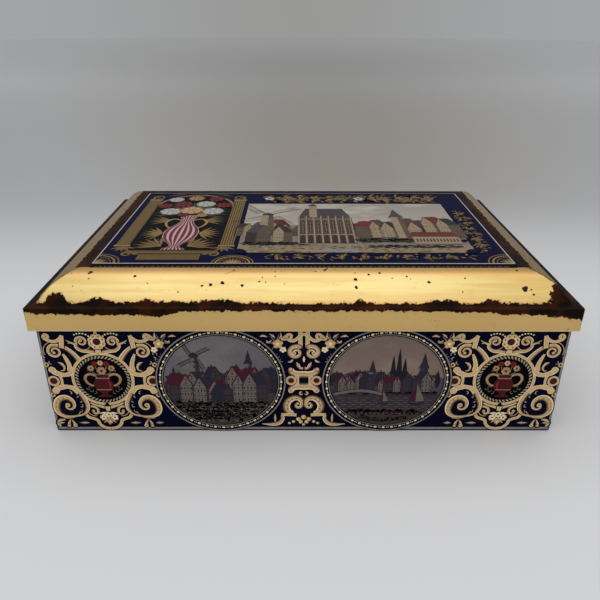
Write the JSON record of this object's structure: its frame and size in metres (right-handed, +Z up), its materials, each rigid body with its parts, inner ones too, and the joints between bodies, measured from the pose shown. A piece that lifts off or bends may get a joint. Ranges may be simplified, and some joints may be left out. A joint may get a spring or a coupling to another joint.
{
  "type": "hinged storage tin",
  "caption": "Rectangular printed tinplate storage tin with a hinged lid: convex gilt border, flat picture panel, plain skirt and ornament all round.",
  "frame": {"origin": "centre of the underside, on the surface that the tin stands on", "axes": "+Z up, front towards -Y, length along X; the hinge is at the back, towards +Y"},
  "size_m": [0.33, 0.227, 0.1068],
  "materials": {
    "wall_print": "gloss lithograph print, navy, gilt and grey violet",
    "lid_print": "worn gilt lacquer with a printed panel",
    "inside_lacquer": "clear gold lacquer over tinplate",
    "strap_lacquer": "gold lacquer over tinplate",
    "bare_wire": "drawn steel wire",
    "rivet_metal": "tinned steel"
  },
  "bodies": {
    "box": {"body_wall": "wall_print", "base_plate": "inside_lacquer", "hinge_strap_left": "strap_lacquer", "hinge_strap_right": "strap_lacquer", "strap_rivets": "rivet_metal"},
    "lid": {"lid_shell": "lid_print", "hinge_wire": "bare_wire"}
  },
  "joints": [
    {"name": "lid_hinge", "type": "hinge", "parent": "box", "child": "lid", "pos_m": [0, 0.11215, 0.07755], "axis": [-1, 0, 0], "range_deg": [0, 105]}
  ]
}
